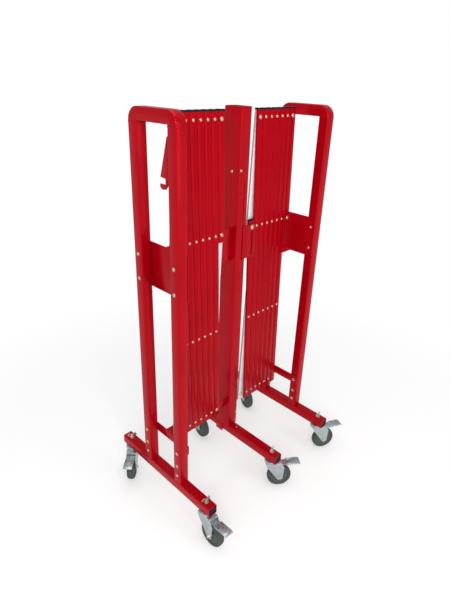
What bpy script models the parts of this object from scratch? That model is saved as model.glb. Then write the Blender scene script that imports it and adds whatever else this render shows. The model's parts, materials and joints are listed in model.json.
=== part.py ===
"""Folding scissor-lattice barrier on casters, in its folded state.

Metres, +Z up. The barrier opens along X. Two hoop frames stand at the ends, a post stands
between them, and a lattice pack of crossed slats joins each frame to the post. The origin is
on the floor, under the middle of the whole object's box.
"""
import math

import bmesh
import bpy
from mathutils import Matrix, Vector

# ---- driving dimensions -----------------------------------------------------------------
GAP = 0.0003                # running gap between pieces that touch
TUBE = 0.038                # side of the square tube in the hoops and the feet
WALL = 0.002                # wall of every tube
FRAME_X = 0.341             # middle of each hoop, out from the centre
HOOP_DEPTH = 0.215          # across the two uprights, along Y
HOOP_HEIGHT = 1.285         # from the foot's top to the hoop's top
HOOP_RADIUS = 0.040         # outer bend of the hoop
FOOT_LENGTH = 0.520
SPIGOT_HEIGHT = 0.100       # inner stub that an upright slides over
SPIGOT_CLEARANCE = 0.0005

POST_X = 0.021              # middle of the post
POST_WIDTH = 0.050          # along X
POST_DEPTH = 0.076          # along Y, back from the lattice plane
POST_HEIGHT = 1.281
POST_TOP_WALL = 0.003

COLUMNS = 14                # steps of half a diamond across one pack
ROWS = 3                    # spans between the four rows of pivots
ROW_SPACING = 0.3722
COLUMN_PITCH = 0.01452      # half a diamond's width when folded
LOWEST_ROW = 0.3055         # height of the fixed end pivots
PACK_INNER = 0.0752         # end pivot nearest the post, out from the centre
SLAT_WIDTH = 0.0275
SLAT_THICKNESS = 0.008
SLAT_OVERHANG = 0.027       # slat beyond its last pivot
LAYER_GAP = 0.0006          # washer space between the two layers
RIVET_RADIUS = 0.003
RIVET_TAIL = 0.0005         # rivet past the back of the lattice
RIVET_CLEARANCE = 0.0011    # on the radius of a coarse round hole
END_PIN_RADIUS = 0.004
END_HEAD_RADIUS = 0.0075
HEAD_HEIGHT = 0.003
PIN_SIDES = 8

PLATE = 0.003               # thickness of every plate bracket
FLANGE_OVERHANG = 0.020     # bracket past its end pivot
MID_PLATE_HEIGHT = 0.154
MID_PLATE_OVER_PIVOT = 0.012
POST_GUIDE_HEIGHT = 0.125
SLOT_TRAVEL = 0.103         # how far the upper end pivots slide down
SLOT_CLEARANCE = 0.0008
LOWER_RAIL_HEIGHT = 0.038
LOWER_RAIL_OVER_PIVOT = 0.0305
PIVOT_FLANGE_BELOW = 0.025  # edges of the post's lower flanges, from their pivots
PIVOT_FLANGE_ABOVE = 0.012
RAIL_FLANGE_BELOW = 0.0095  # lower edge of a rail's flange, from its pivot
POST_PLATE_LAP = 0.018      # front bracket over the post's face
CHEEK_DROP = 0.010          # saddle plate below the centre foot, under the post's rear half

HOOK_TOP = 0.058            # below the hoop's top
HOOK_THICKNESS = 0.005

WHEEL_RADIUS = 0.050
WHEEL_WIDTH = 0.030
WHEEL_STEPS = 24
CASTER_HEIGHT = 0.137       # floor to the foot's underside
CASTER_TRAIL = 0.038        # axle behind the swivel axis
CASTER_Y = 0.226            # swivel axis, out from the foot's middle
AXLE_RADIUS = 0.0055
BORE_CLEARANCE = 0.0005
STEM_RADIUS = 0.0055
STEM_CLEARANCE = 0.0010
STEM_ABOVE_FOOT = 0.012
RACE_RADIUS = 0.026
RACE_HEIGHT = 0.010
CROWN_THICKNESS = 0.009
LEG_THICKNESS = 0.003
LEG_CLEARANCE = 0.002       # wheel side to leg
PEDAL_AXIS_X = 0.036        # pedal hinge, from the swivel axis
PEDAL_AXIS_Z = 0.108
PEDAL_PIN_RADIUS = 0.003
PEDAL_BARREL_RADIUS = 0.0055
PEDAL_REACH = 0.120         # pedal tip, from the swivel axis
PEDAL_WIDTH = 0.036
PEDAL_RISE = 0.010          # underside of the pedal near its tip, above its hinge
PEDAL_PLATE = 0.003
PEDAL_PIN_CLEARANCE = 0.0006
PEDAL_START = 0.024         # where the tread plate begins, from the hinge
PEDAL_NECK = 0.030

# ---- values that follow -----------------------------------------------------------------
FOOT_TOP = CASTER_HEIGHT + TUBE
HOOP_BASE = FOOT_TOP + GAP
HOOP_TOP = FOOT_TOP + HOOP_HEIGHT
POST_TOP = FOOT_TOP + POST_HEIGHT
UPRIGHT_Y = (HOOP_DEPTH - TUBE) / 2
INNER_FACE = FRAME_X - TUBE / 2
POST_LEFT = POST_X - POST_WIDTH / 2
POST_RIGHT = POST_X + POST_WIDTH / 2
PACK_OUTER = PACK_INNER + COLUMNS * COLUMN_PITCH
FRONT_LAYER = (GAP, GAP + SLAT_THICKNESS)
BACK_LAYER = (FRONT_LAYER[1] + LAYER_GAP, FRONT_LAYER[1] + LAYER_GAP + SLAT_THICKNESS)
FRONT_PLATE = (-GAP - PLATE, -GAP)
REAR_PLATE = (BACK_LAYER[1] + LAYER_GAP, BACK_LAYER[1] + LAYER_GAP + PLATE)
UPPER_PIVOT = LOWEST_ROW + 2 * ROW_SPACING
SLOT_RADIUS = END_PIN_RADIUS + SLOT_CLEARANCE
MID_PLATE_TOP = UPPER_PIVOT + MID_PLATE_OVER_PIVOT
MID_PLATE_BASE = MID_PLATE_TOP - MID_PLATE_HEIGHT
RAIL_TOP = LOWEST_ROW + LOWER_RAIL_OVER_PIVOT
LEG_INNER = WHEEL_WIDTH / 2 + LEG_CLEARANCE
LEG_OUTER = LEG_INNER + LEG_THICKNESS
CROWN_TOP = CASTER_HEIGHT - GAP - RACE_HEIGHT
CROWN_BASE = CROWN_TOP - CROWN_THICKNESS

PACKS = {"left": -PACK_OUTER, "right": PACK_INNER}      # X of column 0
CASTERS = {                                             # foot, end, trailing direction, pedal
    "left_front": (-FRAME_X, -1, -91, True),
    "left_rear": (-FRAME_X, 1, -136, True),
    "centre_front": (POST_X, -1, -38, True),
    "centre_rear": (POST_X, 1, -100, False),
    "right_front": (FRAME_X, -1, -28, True),
    "right_rear": (FRAME_X, 1, -110, False),
}


# ---- scene ------------------------------------------------------------------------------
for old in list(bpy.data.objects):
    bpy.data.objects.remove(old, do_unlink=True)


def new_collection(name):
    collection = bpy.data.collections.get(name) or bpy.data.collections.new(name)
    if name not in bpy.context.scene.collection.children:
        bpy.context.scene.collection.children.link(collection)
    return collection


PARTS = new_collection("folding_barrier")
CUTTERS = new_collection("cutters")
ORIGIN = bpy.data.objects.new("barrier_origin", None)
PARTS.objects.link(ORIGIN)


def material(name, colour, roughness, metallic):
    made = bpy.data.materials.new(name)
    made.use_nodes = True
    shader = made.node_tree.nodes["Principled BSDF"]
    shader.inputs["Base Color"].default_value = (*colour, 1.0)
    shader.inputs["Roughness"].default_value = roughness
    shader.inputs["Metallic"].default_value = metallic
    return made


RED = material("red_powder_coat", (0.47, 0.004, 0.010), 0.32, 0.0)
SILVER = material("brushed_aluminium", (0.62, 0.62, 0.63), 0.38, 1.0)
ZINC = material("zinc_plate", (0.50, 0.54, 0.58), 0.35, 1.0)
RUBBER = material("grey_rubber", (0.10, 0.11, 0.10), 0.70, 0.0)


# ---- solids -----------------------------------------------------------------------------
def shape(mesh, name="tool"):
    """A scratch solid, kept with the cutters until it is baked into a part."""
    tool = bpy.data.objects.new(name, mesh)
    tool.hide_render = True
    tool.display_type = "WIRE"
    CUTTERS.objects.link(tool)
    return tool


def from_bmesh(bm):
    mesh = bpy.data.meshes.new("solid")
    bm.to_mesh(mesh)
    bm.free()
    return shape(mesh)


def box(x, y, z):
    """A box between pairs of limits."""
    size = [high - low for low, high in (x, y, z)]
    middle = [(high + low) / 2 for low, high in (x, y, z)]
    bm = bmesh.new()
    bmesh.ops.create_cube(bm, size=1.0, matrix=Matrix.LocRotScale(Vector(middle), None, Vector(size)))
    return from_bmesh(bm)


def rods(axis, radius, ends, places, sides=PIN_SIDES):
    """Parallel cylinders along axis 'Y' or 'Z'; places are (x, z) or (x, y)."""
    low, high = ends
    turn = Matrix.Rotation(math.radians(90), 4, "X") if axis == "Y" else Matrix.Identity(4)
    bm = bmesh.new()
    for first, second in places:
        middle = (low + high) / 2
        spot = (first, middle, second) if axis == "Y" else (first, second, middle)
        bmesh.ops.create_cone(bm, cap_ends=True, segments=sides, radius1=radius, radius2=radius,
                              depth=high - low, matrix=Matrix.Translation(spot) @ turn)
    return from_bmesh(bm)


def outline(points, thickness, plane, offset=0.0):
    """A flat outline given thickness about offset; plane is 'XZ' or 'YZ'."""
    curve = bpy.data.curves.new("outline", "CURVE")
    curve.dimensions = "2D"
    curve.fill_mode = "BOTH"
    curve.extrude = thickness / 2
    spline = curve.splines.new("POLY")
    spline.points.add(len(points) - 1)
    for spot, (across, up) in zip(spline.points, points):
        spot.co = (across, up, 0.0, 1.0)
    spline.use_cyclic_u = True
    drawn = bpy.data.objects.new("outline", curve)
    CUTTERS.objects.link(drawn)
    view = bpy.context.evaluated_depsgraph_get()
    mesh = bpy.data.meshes.new_from_object(drawn.evaluated_get(view))
    bm = bmesh.new()
    bm.from_mesh(mesh)
    bmesh.ops.remove_doubles(bm, verts=bm.verts, dist=1e-6)
    if plane == "XZ":
        place = Matrix.Translation((0, offset, 0)) @ Matrix.Rotation(math.radians(90), 4, "X")
    else:
        turn = Matrix(((0, 0, 1, 0), (1, 0, 0, 0), (0, 1, 0, 0), (0, 0, 0, 1)))
        place = Matrix.Translation((offset, 0, 0)) @ turn
    bmesh.ops.transform(bm, verts=bm.verts, matrix=place)
    bmesh.ops.recalc_face_normals(bm, faces=bm.faces)
    bpy.data.objects.remove(drawn, do_unlink=True)
    return from_bmesh(bm)


def combine(base, tool, operation):
    """Boolean of two scratch solids, baked to one."""
    cut = base.modifiers.new("cut", "BOOLEAN")
    cut.operation = operation
    cut.solver = "EXACT"
    cut.object = tool
    view = bpy.context.evaluated_depsgraph_get()
    mesh = bpy.data.meshes.new_from_object(base.evaluated_get(view))
    bpy.data.objects.remove(base, do_unlink=True)
    bpy.data.objects.remove(tool, do_unlink=True)
    return shape(mesh)


def joined(base, *tools):
    for tool in tools:
        base = combine(base, tool, "UNION")
    return base


def cut(base, *tools):
    for tool in tools:
        base = combine(base, tool, "DIFFERENCE")
    return base


def part(name, solid, finish, origin=(0, 0, 0)):
    """Turn a scratch solid into a named part whose origin is at the given point."""
    mesh = solid.data.copy()
    bpy.data.objects.remove(solid, do_unlink=True)
    mesh.name = name
    mesh.transform(Matrix.Translation(-Vector(origin)))
    return place(name, mesh, finish, origin)


def place(name, mesh, finish, origin, turn=0.0):
    mesh.materials.clear()
    mesh.materials.append(finish)
    mesh.shade_smooth()
    mesh.set_sharp_from_angle(angle=math.radians(35))
    made = bpy.data.objects.new(name, mesh)
    made.location = origin
    made.rotation_euler.z = turn
    made.parent = ORIGIN
    PARTS.objects.link(made)
    return made


# ---- end frames -------------------------------------------------------------------------
def hoop_outline(depth, top, base, width, radius, steps=6):
    """Inverted U: rounded outside corners and a square opening."""
    half = depth / 2
    points = [(-half, base)]
    for side in (-1, 1):
        for step in range(steps + 1):
            angle = math.radians(90 * step / steps)
            if side < 0:
                across, up = -math.cos(angle), math.sin(angle)
            else:
                across, up = math.sin(angle), math.cos(angle)
            points.append((side * (half - radius) + radius * across, top - radius + radius * up))
    points += [(half, base), (half - width, base), (half - width, top - width)]
    points += [(width - half, top - width), (width - half, base)]
    return points


def hook_plate(x):
    """Coupling hook on the inner face of the front upright, notched towards the back."""
    root = -(HOOP_DEPTH / 2 - TUBE) - WALL / 2
    top = HOOP_TOP - HOOK_TOP
    points = [(root, top), (root + 0.0245, top - 0.013), (root + 0.056, top - 0.123),
              (root + 0.033, top - 0.126), (root + 0.033, top - 0.142), (root + 0.058, top - 0.142),
              (root + 0.057, top - 0.152), (root + 0.049, top - 0.158), (root + 0.033, top - 0.156),
              (root + 0.025, top - 0.146), (root + 0.021, top - 0.130), (root, top - 0.107)]
    return outline(points, HOOK_THICKNESS, "YZ", x)


def make_hoop(side, x):
    hoop = outline(hoop_outline(HOOP_DEPTH, HOOP_TOP, HOOP_BASE, TUBE, HOOP_RADIUS), TUBE, "YZ", x)
    hollow = outline(hoop_outline(HOOP_DEPTH - 2 * WALL, HOOP_TOP - WALL, HOOP_BASE - WALL,
                                  TUBE - 2 * WALL, HOOP_RADIUS - WALL), TUBE - 2 * WALL, "YZ", x)
    hoop = cut(hoop, hollow)
    if side == "left":
        hoop = joined(hoop, hook_plate(x))
    part(side + "_hoop", hoop, RED, (x, 0, HOOP_BASE))


def span(first, second):
    return (min(first, second), max(first, second))


def slot(x, y_limits):
    """Vertical slot that lets an upper end pivot slide down."""
    long = (y_limits[0] - WALL, y_limits[1] + WALL)
    ends = rods("Y", SLOT_RADIUS, long, [(x, UPPER_PIVOT), (x, UPPER_PIVOT - SLOT_TRAVEL)])
    side = SLOT_RADIUS * math.cos(math.pi / PIN_SIDES)
    middle = box((x - side, x + side), long, (UPPER_PIVOT - SLOT_TRAVEL, UPPER_PIVOT))
    return joined(middle, ends)


def make_mid_plate(side, sign):
    """Plate bolted across both uprights, with a slotted flange that guides the upper pivot."""
    height = (MID_PLATE_BASE, MID_PLATE_TOP)
    outer = sign * (INNER_FACE - GAP)
    inner = outer - sign * PLATE
    plate = box(span(outer, inner), (-HOOP_DEPTH / 2, HOOP_DEPTH / 2), height)
    reach = sign * (PACK_OUTER - FLANGE_OVERHANG)
    flange = box(span((outer + inner) / 2, reach), FRONT_PLATE, height)
    plate = cut(joined(plate, flange), slot(sign * PACK_OUTER, FRONT_PLATE))
    part(side + "_mid_plate", plate, RED, (outer, 0, UPPER_PIVOT))


def end_pin(x, layer):
    """Fixed end pivot standing forward from a rear flange through one layer of slat."""
    where = [(x, LOWEST_ROW)]
    pin = rods("Y", END_PIN_RADIUS, (layer[0] - GAP - HEAD_HEIGHT, REAR_PLATE[0] + PLATE / 2), where)
    head = rods("Y", END_HEAD_RADIUS, (layer[0] - GAP - HEAD_HEIGHT, layer[0] - GAP), where)
    pin = joined(pin, head)
    if layer is FRONT_LAYER:
        pin = joined(pin, rods("Y", END_HEAD_RADIUS, (layer[1] + GAP, REAR_PLATE[0] + PLATE / 2), where))
    return pin


def pivot_flange(x_root, x_pivot, layer, height):
    """Rear flange with its fixed end pivot."""
    away = math.copysign(FLANGE_OVERHANG, x_pivot - x_root)
    return joined(box(span(x_root, x_pivot + away), REAR_PLATE, height), end_pin(x_pivot, layer))


def make_lower_rail(side, sign):
    """Strip bolted across both uprights, carrying the fixed lower pivot of the pack."""
    outer = sign * (INNER_FACE - GAP)
    inner = outer - sign * PLATE
    strip = box(span(outer, inner), (-HOOP_DEPTH / 2, HOOP_DEPTH / 2),
                (RAIL_TOP - LOWER_RAIL_HEIGHT, RAIL_TOP))
    layer = BACK_LAYER if side == "left" else FRONT_LAYER
    flange = pivot_flange((outer + inner) / 2, sign * PACK_OUTER, layer,
                          (LOWEST_ROW - RAIL_FLANGE_BELOW, RAIL_TOP))
    part(side + "_lower_rail", joined(strip, flange), RED, (outer, 0, LOWEST_ROW))


# ---- feet and post ----------------------------------------------------------------------
def make_foot(name, x, spigots, saddle=None):
    """Open-ended tube along Y, bored for the caster stems, with stubs for what stands on it."""
    ends = (-FOOT_LENGTH / 2, FOOT_LENGTH / 2)
    foot = box((x - TUBE / 2, x + TUBE / 2), ends, (CASTER_HEIGHT, FOOT_TOP))
    hollow = box((x - TUBE / 2 + WALL, x + TUBE / 2 - WALL), (ends[0] - WALL, ends[1] + WALL),
                 (CASTER_HEIGHT + WALL, FOOT_TOP - WALL))
    stems = rods("Z", STEM_RADIUS + STEM_CLEARANCE, (CASTER_HEIGHT - WALL, FOOT_TOP + WALL),
                 [(x, -CASTER_Y), (x, CASTER_Y)], 12)
    foot = cut(foot, hollow, stems)
    for middle, size_x, size_y in spigots:
        half_x = size_x / 2 - WALL - SPIGOT_CLEARANCE
        half_y = size_y / 2 - WALL - SPIGOT_CLEARANCE
        foot = joined(foot, box((x - half_x, x + half_x), (middle - half_y, middle + half_y),
                                (FOOT_TOP - WALL / 2, FOOT_TOP + SPIGOT_HEIGHT)))
    if saddle:
        foot = joined(foot, box((x - TUBE / 2 - PLATE, x - TUBE / 2 + WALL / 2), saddle,
                                (CASTER_HEIGHT - CHEEK_DROP, FOOT_TOP)))
    part(name, foot, RED, (x, 0, CASTER_HEIGHT))


def make_post():
    sides = (POST_LEFT, POST_RIGHT)
    post = box(sides, (0, POST_DEPTH), (FOOT_TOP + GAP, POST_TOP))
    hollow = box((sides[0] + WALL, sides[1] - WALL), (WALL, POST_DEPTH - WALL),
                 (FOOT_TOP - WALL, POST_TOP - POST_TOP_WALL))
    post = cut(post, hollow)
    height = (LOWEST_ROW - PIVOT_FLANGE_BELOW, LOWEST_ROW + PIVOT_FLANGE_ABOVE)
    post = joined(post, pivot_flange(POST_LEFT + WALL / 2, -PACK_INNER, FRONT_LAYER, height),
                  pivot_flange(POST_RIGHT - WALL / 2, PACK_INNER, BACK_LAYER, height))
    part("centre_post", post, RED, (POST_X, 0, FOOT_TOP))


def make_post_guides():
    """Slotted guides for the upper pivots: one over the post's face, one behind the slats."""
    height = (MID_PLATE_TOP - POST_GUIDE_HEIGHT, MID_PLATE_TOP)
    right = box((POST_RIGHT - POST_PLATE_LAP, PACK_INNER + FLANGE_OVERHANG), FRONT_PLATE, height)
    right = cut(right, slot(PACK_INNER, FRONT_PLATE))
    part("post_right_guide", right, RED, (POST_RIGHT, 0, UPPER_PIVOT))
    left = box((-PACK_INNER - FLANGE_OVERHANG, POST_LEFT - GAP), REAR_PLATE, height)
    left = cut(left, slot(-PACK_INNER, REAR_PLATE))
    part("post_left_guide", left, RED, (POST_LEFT, 0, UPPER_PIVOT))


# ---- lattice ----------------------------------------------------------------------------
def slat_plan():
    """Every slat of one pack as (layer, top column, top row, bottom column, bottom row)."""
    plan = []
    for start in range(-2, COLUMNS, 2):
        rows = [row for row in range(ROWS + 1) if 0 <= start + 1 + row <= COLUMNS]
        plan.append(("front", start + 1 + rows[0], rows[0], start + 1 + rows[-1], rows[-1]))
    for start in range(1, COLUMNS + 3, 2):
        rows = [row for row in range(ROWS + 1) if 0 <= start - row <= COLUMNS]
        plan.append(("back", start - rows[0], rows[0], start - rows[-1], rows[-1]))
    return [slat for slat in plan if slat[4] > slat[2]]


def pivot_point(pack, column, row):
    return (PACKS[pack] + column * COLUMN_PITCH, LOWEST_ROW + (ROWS - row) * ROW_SPACING)


def bar(low, high, layer):
    """Flat bar through two points in the X-Z plane, with square ends past them."""
    along = (Vector(high) - Vector(low)).normalized()
    across = Vector((along.y, -along.x)) * SLAT_WIDTH / 2
    start = Vector(low) - along * SLAT_OVERHANG
    end = Vector(high) + along * SLAT_OVERHANG
    corners = [start - across, start + across, end + across, end - across]
    return outline([tuple(corner) for corner in corners], SLAT_THICKNESS, "XZ", sum(layer) / 2)


def slides_in_front(pack, column):
    """The guide is behind the slats only at the post's left side."""
    return not (pack == "left" and column == COLUMNS)


def make_slat(pack, layer_name, top_column, top_row, bottom_column, bottom_row):
    layer = FRONT_LAYER if layer_name == "front" else BACK_LAYER
    step = 1 if layer_name == "front" else -1
    rows = range(top_row, bottom_row + 1)
    pivots = [(top_column + step * (row - top_row), row) for row in rows]
    points = {pivot: pivot_point(pack, *pivot) for pivot in pivots}
    slat = bar(points[pivots[-1]], points[pivots[0]], layer)
    fixed = [pivot for pivot in pivots if pivot[1] == ROWS and pivot[0] in (0, COLUMNS)]
    sliding = [pivot for pivot in pivots if pivot[1] == 1 and pivot[0] in (0, COLUMNS)]
    crossed = [points[pivot] for pivot in pivots if pivot not in fixed]
    through = (layer[0] - LAYER_GAP, layer[1] + LAYER_GAP)
    if layer_name == "front":
        tail = (layer[1] - WALL, BACK_LAYER[1] + RIVET_TAIL)
        slat = joined(slat, rods("Y", RIVET_RADIUS, tail, crossed))
    else:
        slat = cut(slat, rods("Y", RIVET_RADIUS + RIVET_CLEARANCE, through, crossed))
    if fixed:
        hole = rods("Y", END_PIN_RADIUS + RIVET_CLEARANCE, through, [points[fixed[0]]])
        slat = cut(slat, hole)
    if sliding and layer_name == "front":
        where = [points[sliding[0]]]
        if slides_in_front(pack, sliding[0][0]):
            pin = rods("Y", END_PIN_RADIUS, (FRONT_PLATE[0] - GAP - HEAD_HEIGHT, layer[0] + WALL), where)
            head = rods("Y", END_HEAD_RADIUS,
                        (FRONT_PLATE[0] - GAP - HEAD_HEIGHT, FRONT_PLATE[0] - GAP), where)
        else:
            pin = rods("Y", END_PIN_RADIUS,
                       (BACK_LAYER[1] + GAP, REAR_PLATE[1] + GAP + HEAD_HEIGHT), where)
            head = rods("Y", END_HEAD_RADIUS,
                        (REAR_PLATE[1] + GAP, REAR_PLATE[1] + GAP + HEAD_HEIGHT), where)
        slat = joined(slat, joined(pin, head))
    name = f"{pack}_{layer_name}_slat_{top_column:02d}_{bottom_column:02d}"
    finish = RED if layer_name == "front" else SILVER
    origin_x, origin_z = points[pivots[-1]]
    part(name, slat, finish, (origin_x, 0, origin_z))


# ---- casters ----------------------------------------------------------------------------
def leg_outline():
    """Side of the fork, from the crown down to a rounded end round the axle."""
    crown_back, crown_front = -0.022, 0.040
    around = [(CASTER_TRAIL + 0.013 * math.cos(angle), WHEEL_RADIUS + 0.013 * math.sin(angle))
              for angle in (math.radians(turn) for turn in range(215, 381, 33))]
    back = [(crown_back, CROWN_TOP - 0.001), (crown_back, CROWN_BASE - 0.004)]
    front = [(CASTER_TRAIL + 0.016, CROWN_BASE - 0.018), (crown_front, CROWN_TOP - 0.001)]
    return back + around + front


def make_fork_mesh():
    """Swivel race, crown, two legs, axle, pedal pin and the stem, trailing along +X."""
    fork = rods("Z", RACE_RADIUS, (CROWN_TOP - WALL, CASTER_HEIGHT - GAP), [(0, 0)], 20)
    stem = rods("Z", STEM_RADIUS, (CASTER_HEIGHT - WALL, FOOT_TOP + STEM_ABOVE_FOOT), [(0, 0)], 12)
    crown = box((-0.023, 0.041), (-LEG_OUTER, LEG_OUTER), (CROWN_BASE, CROWN_TOP))
    fork = joined(fork, stem, crown)
    for side in (-1, 1):
        fork = joined(fork, outline(leg_outline(), LEG_THICKNESS, "XZ", side * (LEG_INNER + LEG_OUTER) / 2))
    axle = rods("Y", AXLE_RADIUS, (-LEG_OUTER - WALL, LEG_OUTER + WALL), [(CASTER_TRAIL, WHEEL_RADIUS)], 12)
    pin = rods("Y", PEDAL_PIN_RADIUS, (-LEG_OUTER - WALL / 4, LEG_OUTER + WALL / 4),
               [(PEDAL_AXIS_X, PEDAL_AXIS_Z)], 12)
    return joined(fork, axle, pin)


def make_wheel_mesh():
    """Turned wheel: tyre, recessed disc and hub, about its own axle along Y."""
    half = WHEEL_WIDTH / 2
    bore = AXLE_RADIUS + BORE_CLEARANCE
    profile = [(bore, half), (0.014, half), (0.016, half - 0.004), (WHEEL_RADIUS - 0.014, half - 0.004),
               (WHEEL_RADIUS - 0.011, half - 0.0005), (WHEEL_RADIUS - 0.003, half - 0.0015),
               (WHEEL_RADIUS, half - 0.007)]
    ring = profile + [(radius, -across) for radius, across in reversed(profile)]
    bm = bmesh.new()
    corners = [bm.verts.new((radius, across, 0)) for radius, across in ring]
    for first, second in zip(corners, corners[1:] + corners[:1]):
        bm.edges.new((first, second))
    mesh = bpy.data.meshes.new("wheel")
    bm.to_mesh(mesh)
    bm.free()
    drawn = shape(mesh)
    turned = drawn.modifiers.new("turn", "SCREW")
    turned.axis = "Y"
    turned.steps = WHEEL_STEPS
    turned.render_steps = WHEEL_STEPS
    turned.use_merge_vertices = True
    turned.merge_threshold = 0.00001
    view = bpy.context.evaluated_depsgraph_get()
    baked = bpy.data.meshes.new_from_object(drawn.evaluated_get(view))
    bpy.data.objects.remove(drawn, do_unlink=True)
    bm = bmesh.new()
    bm.from_mesh(baked)
    bmesh.ops.recalc_face_normals(bm, faces=bm.faces)
    bm.to_mesh(baked)
    bm.free()
    return baked


def make_pedal_mesh():
    """Foot plate with a hinge barrel, about the pedal's own axis."""
    root, root_base = PEDAL_BARREL_RADIUS - 0.0035, 0.0015
    tip = PEDAL_REACH - PEDAL_AXIS_X
    narrow = LEG_INNER - 0.0015
    bend, lip = tip - 0.012, PEDAL_RISE - 0.004
    slope = (PEDAL_RISE - root_base) / (bend - root)
    start_base = root_base + slope * (PEDAL_START - root)
    neck_base = root_base + slope * (PEDAL_NECK - root)
    neck = outline([(root, root_base + PEDAL_PLATE), (root, root_base), (PEDAL_NECK, neck_base + 0.0004),
                    (PEDAL_NECK, neck_base + PEDAL_PLATE - 0.0004)], 2 * narrow - 0.001, "XZ")
    plate = outline([(PEDAL_START, start_base), (bend, PEDAL_RISE), (tip, lip), (tip, lip + PEDAL_PLATE),
                     (bend, PEDAL_RISE + PEDAL_PLATE), (PEDAL_START, start_base + PEDAL_PLATE)],
                    PEDAL_WIDTH, "XZ")
    barrel = rods("Y", PEDAL_BARREL_RADIUS, (-narrow, narrow), [(0, 0)], 12)
    pedal = joined(barrel, neck, plate)
    return cut(pedal, rods("Y", PEDAL_PIN_RADIUS + PEDAL_PIN_CLEARANCE, (-LEG_OUTER, LEG_OUTER), [(0, 0)], 12))


def make_casters():
    fork, pedal = make_fork_mesh(), make_pedal_mesh()
    wheel = make_wheel_mesh()
    for name, (x, end, trailing, has_pedal) in CASTERS.items():
        turn = math.radians(trailing)
        swivel = Vector((x, end * CASTER_Y, 0))
        place(name + "_fork", fork.data.copy(), ZINC, swivel, turn)
        place(name + "_wheel", wheel.copy(), RUBBER, swivel + axis_point(turn, CASTER_TRAIL, WHEEL_RADIUS), turn)
        if has_pedal:
            hinge = swivel + axis_point(turn, PEDAL_AXIS_X, PEDAL_AXIS_Z)
            place(name + "_brake_pedal", pedal.data.copy(), ZINC, hinge, turn)
    for used in (fork, pedal):
        bpy.data.objects.remove(used, do_unlink=True)


def axis_point(turn, out, up):
    return Vector((out * math.cos(turn), out * math.sin(turn), up))


# ---- assembly ---------------------------------------------------------------------------
def centre_over_floor():
    """Put the origin on the floor under the middle of the whole box."""
    bpy.context.view_layer.update()
    corners = [made.matrix_world @ vertex.co for made in PARTS.objects if made.type == "MESH"
               for vertex in made.data.vertices]
    for axis in (0, 1):
        values = [corner[axis] for corner in corners]
        ORIGIN.location[axis] = -(min(values) + max(values)) / 2


for frame_side, frame_sign in (("left", -1), ("right", 1)):
    make_hoop(frame_side, frame_sign * FRAME_X)
    make_mid_plate(frame_side, frame_sign)
    make_lower_rail(frame_side, frame_sign)
    stubs = [(-UPRIGHT_Y, TUBE, TUBE), (UPRIGHT_Y, TUBE, TUBE)]
    make_foot(frame_side + "_foot", frame_sign * FRAME_X, stubs)
make_foot("centre_foot", POST_X, [(POST_DEPTH / 2, TUBE, POST_DEPTH)], (POST_DEPTH / 2, POST_DEPTH))
make_post()
make_post_guides()
for pack_name in PACKS:
    for slat_row in slat_plan():
        make_slat(pack_name, *slat_row)
make_casters()
centre_over_floor()
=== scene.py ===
import json
import math
import random

import bmesh
import bpy
from mathutils import Matrix, Vector


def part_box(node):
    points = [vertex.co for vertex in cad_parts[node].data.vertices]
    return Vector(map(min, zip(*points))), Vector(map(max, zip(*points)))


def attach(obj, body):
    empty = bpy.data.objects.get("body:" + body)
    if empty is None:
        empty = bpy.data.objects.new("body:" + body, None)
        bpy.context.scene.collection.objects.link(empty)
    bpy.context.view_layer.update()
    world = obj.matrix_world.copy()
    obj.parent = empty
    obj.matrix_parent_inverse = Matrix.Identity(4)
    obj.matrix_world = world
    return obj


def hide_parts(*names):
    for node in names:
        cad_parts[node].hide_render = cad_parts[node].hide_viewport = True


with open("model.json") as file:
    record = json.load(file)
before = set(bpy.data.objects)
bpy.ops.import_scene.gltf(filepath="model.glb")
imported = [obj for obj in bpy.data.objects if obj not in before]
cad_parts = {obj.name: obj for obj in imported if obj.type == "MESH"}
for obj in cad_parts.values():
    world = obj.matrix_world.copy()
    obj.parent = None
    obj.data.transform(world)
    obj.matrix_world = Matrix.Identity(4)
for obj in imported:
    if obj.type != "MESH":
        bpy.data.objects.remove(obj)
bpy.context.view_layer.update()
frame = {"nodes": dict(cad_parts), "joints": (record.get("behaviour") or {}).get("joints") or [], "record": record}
nodes = frame["nodes"]
joints = {joint["name"]: joint for joint in frame["joints"]}
bodies = frame["record"]["behaviour"]["bodies"]
bodyOf = {node: body for body, members in bodies.items() for node in members}
random.seed(7)
mm = 0.001
print("frame loaded")

# colours are linear
paints = {
    "red": (0.44, 0.0005, 0.0075), "redDeep": (0.29, 0.0003, 0.0045),
    "aluminium": (0.80, 0.80, 0.80), "aluminiumDark": (0.62, 0.62, 0.63),
    "zinc": (0.50, 0.57, 0.60), "zincDark": (0.30, 0.36, 0.38),
    "rubber": (0.040, 0.054, 0.048), "rubberDark": (0.026, 0.036, 0.032),
    "hub": (0.055, 0.074, 0.068), "hubDark": (0.036, 0.050, 0.046),
    "black": (0.007, 0.008, 0.009), "blackDeep": (0.004, 0.004, 0.005),
    "rivet": (0.62, 0.50, 0.38), "rivetDark": (0.40, 0.31, 0.22),
    "bolt": (0.66, 0.60, 0.52), "boltDark": (0.45, 0.42, 0.38),
    "dust": (0.36, 0.33, 0.30),
}


# ---- materials
def nodeGroup(name, inputs, outputs):
    group = bpy.data.node_groups.new(name, "ShaderNodeTree")
    for label, kind, value in inputs:
        socket = group.interface.new_socket(label, in_out="INPUT", socket_type=kind)
        socket.default_value = value
    for label, kind in outputs:
        group.interface.new_socket(label, in_out="OUTPUT", socket_type=kind)
    return group, group.nodes.new("NodeGroupInput"), group.nodes.new("NodeGroupOutput")


def addNode(tree, kind, **values):
    node = tree.nodes.new(kind)
    for label, value in values.items():
        if label in node.inputs:
            node.inputs[label].default_value = value
        else:
            setattr(node, label, value)
    return node


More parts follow.
